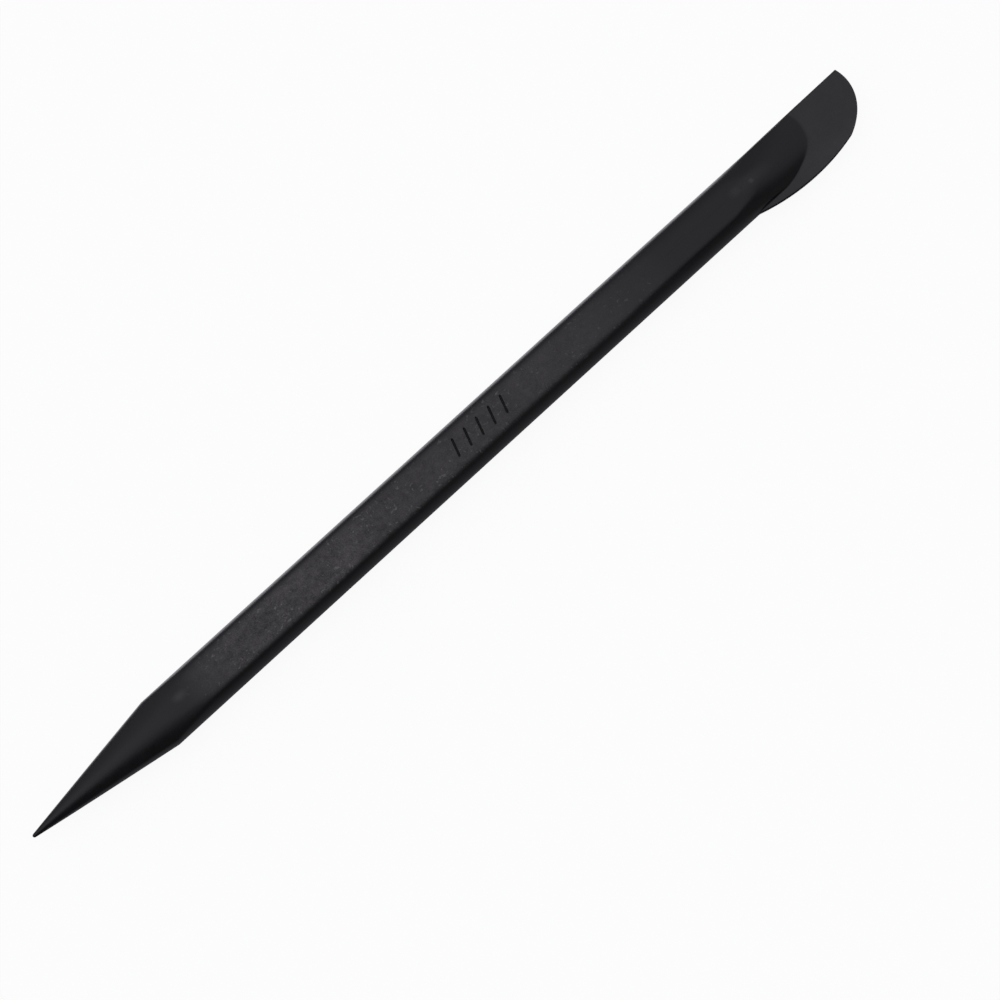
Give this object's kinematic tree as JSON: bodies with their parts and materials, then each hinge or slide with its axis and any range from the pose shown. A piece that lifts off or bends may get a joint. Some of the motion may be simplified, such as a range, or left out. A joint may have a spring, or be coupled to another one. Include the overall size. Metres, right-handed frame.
{
  "type": "spudger",
  "caption": "Slim black nylon prying stick: a flat-faced bar with round sides, a long fine point at the front end and a thin curved blade, offset to the side, at the back end.",
  "frame": {"origin": "centre of the unmarked flat underside, on the bar's centreline, halfway along the tool", "axes": "+X runs along the tool from its point to its blade, +Z is the normal of the marked top flat, and the blade's belly bulges to -Y"},
  "size_m": [0.127, 0.0077, 0.0045],
  "materials": {
    "black_nylon": "satin black glass-filled nylon, finely grained on the bar and smoother on the point and blade"
  },
  "bodies": {
    "root": {"spudger_stick": "black_nylon"}
  },
  "joints": []
}
